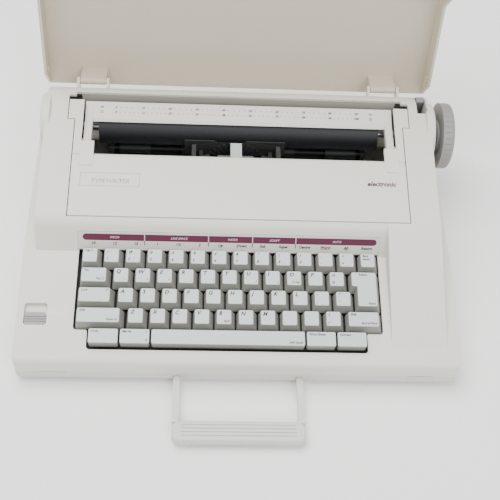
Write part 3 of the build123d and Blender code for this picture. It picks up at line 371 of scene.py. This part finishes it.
row_legends = {
    "digit_keys": ["!1", "@2", "#3", "$4", "%5", "¢6", "&7", "*8", "(9", ")0", "_-", "+="],
    "top_letter_keys": ["Q", "W", "E", "R", "T", "Y", "U", "I", "O", "P", "½¼"],
    "home_letter_keys": ["A", "S", "D", "F", "G", "H", "J", "K", "L", ":;", "\"'"],
    "bottom_letter_keys": ["Z", "X", "C", "V", "B", "N", "M", ",,", "..", "?/"],
}
second_legends = {"Q": "—", "W": "+", "E": "<", "R": "/", "T": "°", "Y": "'", "U": "[", "I": "]",
                  "O": "O.Tab", "B": "Bold"}
across = Vector((1, 0, 0))
for name, legends in row_legends.items():
    boxes, plane = key_tops(name)
    items = []
    for (left, right_edge, low, high), legend in zip(boxes, legends):
        if len(legend) == 2:
            items.append((legend[0], "black", 3.4, left + 1.6, high - 3.9, "LEFT"))
            items.append((legend[1], "black", 3.6, left + 1.2, low + 1.7, "LEFT"))
        else:
            items.append((legend, "black", 4.9, left + 1.4, high - 4.6, "LEFT"))
        second = second_legends.get(legend)
        if second:
            colour = "plum" if len(second) > 1 else "grey"
            items.append((second, colour, 2.7, right_edge - 1.2, low + 1.6, "RIGHT"))
    print_piece("legends_" + name, name, items, plane, across, key_up)

special_legends = {
    "tab_set_key": [("Tab S", "black", 2.9, 0, 1, "L")],
    "back_space_key": [("Back", "black", 2.7, 0, 1, "L"), ("Space", "black", 2.7, 0, 2, "L")],
    "tab_key": [("Tab", "grey", 2.9, 0, 1, "L"), ("Tab C", "grey", 2.9, 0, 0, "R")],
    "lock_key": [("Lock", "grey", 2.9, 0, 1, "L"), ("C", "grey", 2.9, 0, 1, "R")],
    "left_shift_key": [("Shift", "grey", 2.9, 0, 1, "L"), ("Paper In", "grey", 2.9, 0, 0, "R")],
    "return_key": [("Return", "black", 2.8, 5, 1, "L"), ("Reloc", "plum", 2.8, 0, 0, "R")],
    "right_shift_key": [("Shift", "black", 2.9, 0, 1, "L"), ("End of Page", "plum", 2.9, 0, 0, "R")],
    "code_key": [("Code", "grey", 2.9, 0, 1, "L")],
    "margin_key": [("Margin", "black", 2.9, 0, 1, "L"), ("L", "grey", 2.9, 0, 1, "R"),
                   ("R", "grey", 2.9, 0, 0, "R")],
    "space_bar": [("Half Space", "grey", 2.9, 0, 0, "R")],
    "erase_key": [("Word Erase", "black", 2.9, 0, 1, "L")],
    "correct_key": [("Correct", "black", 2.9, 0, 1, "L")],
}
for name, words in special_legends.items():
    boxes, plane = key_tops(name)
    left, right_edge, low, high = boxes[0]
    items = []
    for text, colour, size, inset, line, side in words:
        u = left + 1.3 + inset if side == "L" else right_edge - 1.5
        v = low + 1.6 if line == 0 else high - 3.0 * line
        items.append((text, colour, size, u, v, "LEFT" if side == "L" else "RIGHT"))
    print_piece("legends_" + name, name, items, plane, across, key_up)

# ---------------------------------------------------------------------------
# Under the keys: a black guide plate, the silicone membrane and its board.
# The plate is what shows between the caps, so it is dark and matt.
# ---------------------------------------------------------------------------
dark_abs = moulded("matt_black_abs", "#2c2e2c", "#363835", 0.65, 0.5, 0.04, 0.3)
silicone = moulded("grey_silicone", "#6b6f6c", "#626663", 0.7, 0.8, 0.03)
laminate = moulded("green_board_laminate", "#2f5a3c", "#2a5237", 0.4, 1.2, 0.02)
for name in ("key_guide_plate", "feed_cradle", "carriage_frame", "card_guide", "ribbon_cassette",
             "power_inlet", "daisy_wheel", "ribbon"):
    finish_node(name, dark_abs)
for name in ("membrane_sheet", "carriage_belt"):
    finish_node(name, silicone)
for name in ("contact_board", "circuit_board"):
    finish_node(name, laminate)

# ---------------------------------------------------------------------------
# The legend strip over the number row: a printed polycarbonate strip glued into
# a recess, with a burgundy bar of group headings and the functions below it.
# ---------------------------------------------------------------------------
strip_plastic = moulded("printed_strip_polycarbonate", "#d2d1cc", "#cbcac4", 0.35, 0.4, 0.01)
finish_node("function_strip", strip_plastic)
low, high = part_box("function_strip")
face_angle = math.radians(60)
strip_up = Vector((0, math.cos(face_angle), math.sin(face_angle)))
strip_out = Vector((0, -math.sin(face_angle), math.cos(face_angle)))
strip_origin = Vector((0, low.y, low.z + 0.0006 * math.cos(face_angle)))
bar_low, bar_high = 8.7, 14.9
bar_left, bar_right = low.x * 1000 + 4.0, high.x * 1000 - 2.6
shapes = bmesh.new()
rim = []
radius = (bar_high - bar_low) / 2
middle = (bar_high + bar_low) / 2
for step in range(17):
    angle = math.radians(90 + step * 180 / 16)
    rim.append((bar_left + radius + radius * math.cos(angle), middle + radius * math.sin(angle)))
for step in range(17):
    angle = math.radians(-90 + step * 180 / 16)
    rim.append((bar_right - radius + radius * math.cos(angle), middle + radius * math.sin(angle)))
corners = [shapes.verts.new(strip_origin + across * (u / 1000) + strip_up * (v / 1000) + strip_out * 4e-5)
           for u, v in rim]
shapes.faces.new(corners)
dividers = (-85.0, -28.0, 11.5, 50.5)
for u in dividers:
    for width, v0, v1, slot_index, lift in ((0.9, bar_low, bar_high, 1, 7e-5),
                                            (0.7, 4.6, bar_low, 2, 5e-5)):
        quad = [(u - width / 2, v0), (u + width / 2, v0), (u + width / 2, v1), (u - width / 2, v1)]
        face = shapes.faces.new([shapes.verts.new(strip_origin + across * (a / 1000) + strip_up * (b / 1000)
                                                  + strip_out * lift) for a, b in quad])
        face.material_index = slot_index
mesh = bpy.data.meshes.new("strip_bar")
shapes.to_mesh(mesh)
shapes.free()
for colour in ("burgundy", "white", "black"):
    mesh.materials.append(inks[colour])
bar = bpy.data.objects.new("strip_bar", mesh)
bpy.context.scene.collection.objects.link(bar)
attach(bar, "case")
strip_words = [("PITCH", -111.7), ("LINE SPACE", -54.4), ("INDEX", -6.4), ("SCRIPT", 31.2), ("AUTO", 87.7)]
items = [(words, "white", 2.9, u, middle - 1.0, "CENTER") for words, u in strip_words]
strip_labels = ["10", "12", "15", "1", "1½", "2", "Up", "Down", "Sub", "Super", "Centre", "Word",
                "All", "Return"]
label_start, label_pitch = -130.6, 18.9
for place_number, words in enumerate(strip_labels):
    items.append((words, "black", 3.6, label_start + label_pitch * place_number, 4.8, "CENTER"))
for place_number, underline in ((11, "____"), (12, "__")):
    items.append((underline, "black", 3.3, label_start + label_pitch * place_number, 4.6, "CENTER"))
print_piece("strip_words", "case", items, strip_origin, across, strip_up, 9e-5)

# ---------------------------------------------------------------------------
# The platen and paper path: a steel shaft with a ground rubber roller, a
# grey moulded knob, acetal gears, and a paper pan behind in painted shade.
# ---------------------------------------------------------------------------
platen_rubber = moulded("ground_platen_rubber", "#17191c", "#1f2124", 0.55, 0.4, 0.03)
knob_abs = moulded("grey_knob_abs", "#8f8e8c", "#868583", 0.45, 0.5, 0.03)
acetal = moulded("white_acetal", "#dcdcd6", "#d2d2cb", 0.35, 0.6, 0.01)
# The paper pan's darker beige is painted shade: the tone of its face shadowed inside the paper slot.
pan_abs = moulded("pan_abs_in_painted_shade", "#c3bfb5", "#b9b5aa", 0.5, 0.5, 0.03)
for name in ("platen_roller", "feed_rollers", "rubber_feet"):
    finish_node(name, platen_rubber)
for name in ("platen_knob", "paper_release_lever", "power_slider"):
    finish_node(name, knob_abs)
for name in ("platen_gear", "line_feed_pinion", "drive_pulley", "idler_pulley"):
    finish_node(name, acetal)
finish_node("paper_pan", pan_abs)

# ---------------------------------------------------------------------------
# The paper scale on the bail: screen-printed figures and dots for 10 and 12
# characters to the inch. The dots are repeated along two lines.
# ---------------------------------------------------------------------------
scale_rise = math.atan2(6.1, 16.5)
scale_up = Vector((0, math.cos(scale_rise), math.sin(scale_rise)))
scale_out = Vector((0, -math.sin(scale_rise), math.cos(scale_rise)))
scale_origin = Vector((0, 0.0905, 0.075)) + Vector((0, -0.0065, 0.0175))
scale_start = -117.3
inch, figure_size = 25.4, 3.1
pica_line, elite_line = 10.6, 5.6
items = []
for count in range(10):
    u = scale_start + inch * count
    items.append((str(count * 10), "black", figure_size, u, pica_line, "CENTER"))
    items.append((str(count * 12), "black", figure_size, u, elite_line, "CENTER"))
for end in (scale_start - 13.5, scale_start + 242.0):
    items.append(("10", "black", figure_size, end, pica_line, "CENTER"))
    items.append(("12", "black", figure_size, end, elite_line, "CENTER"))
print_piece("scale_figures", "paper_bail", items, scale_origin, across, scale_up)


def scale_dots(name, count, per_inch, v):
    """Dots along one scale line, left out under the figures, as one realised mesh."""
    tree = bpy.data.node_groups.new(name, "GeometryNodeTree")
    tree.interface.new_socket("Geometry", in_out="OUTPUT", socket_type="NodeSocketGeometry")
    for label, kind, value in (("Count", "NodeSocketInt", count),
                               ("Pitch", "NodeSocketFloat", inch / 1000 / per_inch),
                               ("Radius", "NodeSocketFloat", 0.00042)):
        socket = tree.interface.new_socket(label, in_out="INPUT", socket_type=kind)
        socket.default_value = value
    given = add_node(tree, "NodeGroupInput")
    step = add_node(tree, "ShaderNodeCombineXYZ", {"X": given.outputs["Pitch"]})
    line = add_node(tree, "GeometryNodeMeshLine",
                    {"Count": given.outputs["Count"], "Offset": step.outputs[0]}, mode="OFFSET")
    dot = add_node(tree, "GeometryNodeMeshCircle", {"Radius": given.outputs["Radius"]}, fill_type="NGON",
                   Vertices=8)
    number = add_node(tree, "GeometryNodeInputIndex")
    part = add_node(tree, "ShaderNodeMath", {0: number.outputs[0]}, operation="MODULO")
    part.inputs[1].default_value = per_inch
    shown = add_node(tree, "FunctionNodeCompare", {"A": part.outputs[0]}, operation="GREATER_THAN")
    shown.inputs["B"].default_value = 0.5
    spread = add_node(tree, "GeometryNodeInstanceOnPoints",
                      {"Points": line.outputs[0], "Instance": dot.outputs[0],
                       "Selection": shown.outputs[0]})
    solid = add_node(tree, "GeometryNodeRealizeInstances", {"Geometry": spread.outputs[0]})
    painted = add_node(tree, "GeometryNodeSetMaterial", {"Geometry": solid.outputs[0]})
    painted.inputs["Material"].default_value = inks["black"]
    add_node(tree, "NodeGroupOutput", {"Geometry": painted.outputs[0]})
    holder = bpy.data.objects.new(name, bpy.data.meshes.new(name))
    bpy.context.scene.collection.objects.link(holder)
    modifier = holder.modifiers.new("dots", "NODES")
    modifier.node_group = tree
    for socket in tree.interface.items_tree:
        if socket.in_out == "INPUT":
            modifier[socket.identifier] = socket.default_value
    shape = bpy.data.meshes.new_from_object(holder.evaluated_get(bpy.context.evaluated_depsgraph_get()))
    holder.modifiers.clear()
    spot = scale_origin + across * (scale_start / 1000) + scale_up * (v / 1000) + scale_out * 6e-5
    for vertex in shape.vertices:
        x, y, _ = vertex.co
        vertex.co = spot + across * x + scale_up * y
    holder.data = shape
    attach(holder, "paper_bail")


scale_dots("pica_dots", 46, 5, 11.5)
scale_dots("elite_dots", 55, 6, 6.5)

# ---------------------------------------------------------------------------
# The print unit: a clear hammer guide over the wheel, black cassette and card
# guide, plated motors and the mains transformer on the base.
# ---------------------------------------------------------------------------
clear, tree = new_material("clear_moulded_styrene")
place = add_node(tree, "ShaderNodeTexCoord")
haze = add_node(tree, "ShaderNodeTexNoise", {"Vector": place.outputs["Object"]}, Scale=300.0, Detail=2.0)
gloss = add_node(tree, "ShaderNodeMapRange", {"Value": haze.outputs["Fac"]})
gloss.inputs["To Min"].default_value = 0.12
gloss.inputs["To Max"].default_value = 0.28
shade = add_node(tree, "ShaderNodeBsdfPrincipled", {"Roughness": gloss.outputs[0]}, IOR=1.59, Alpha=0.75)
shade.inputs["Base Color"].default_value = linear("#c9cdd0")
add_node(tree, "ShaderNodeOutputMaterial", {"Surface": shade.outputs[0]})
finish_node("hammer_coil", clear)
core_iron = moulded("lacquered_core_iron", "#3a3a3c", "#454546", 0.5, 0.8, 0.04)
finish_node("transformer", core_iron)
lens = moulded("frosted_lens_styrene", "#d6d7d4", "#cfd0cd", 0.3, 0.6, 0.01)
finish_node("power_indicator", lens)

# ---------------------------------------------------------------------------
# The cover's plain printing: a thin silver frame with a generic word at the
# left and a generic word at the right. Both are screen-printed.
# ---------------------------------------------------------------------------
rise_angle = math.atan2(29.9, 139.0)
cover_up = Vector((0, math.cos(rise_angle), math.sin(rise_angle)))
cover_out = Vector((0, -math.sin(rise_angle), math.cos(rise_angle)))
cover_origin = Vector((0, -0.027, 0.0765))
items = [("TYPEWRITER", "silver", 6.0, -118.0, 38.0, "CENTER"),
         ("electronic", "burgundy", 6.6, 143.0, 41.5, "RIGHT")]
print_piece("cover_words", "ribbon_cover", items, cover_origin, across, cover_up, 8e-5)
shapes = bmesh.new()
left, right_edge, low_edge, high_edge, line = -145.0, -91.0, 34.5, 48.5, 0.5
for a, b, c, d in ((left, right_edge, low_edge, low_edge + line),
                   (left, right_edge, high_edge - line, high_edge),
                   (left, left + line, low_edge, high_edge),
                   (right_edge - line, right_edge, low_edge, high_edge)):
    quad = [(a, c), (b, c), (b, d), (a, d)]
    shapes.faces.new([shapes.verts.new(cover_origin + across * (u / 1000) + cover_up * (v / 1000)
                                       + cover_out * 6e-5) for u, v in quad])
mesh = bpy.data.meshes.new("badge_frame")
shapes.to_mesh(mesh)
shapes.free()
mesh.materials.append(inks["silver"])
badge = bpy.data.objects.new("badge_frame", mesh)
bpy.context.scene.collection.objects.link(badge)
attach(badge, "ribbon_cover")

low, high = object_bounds()
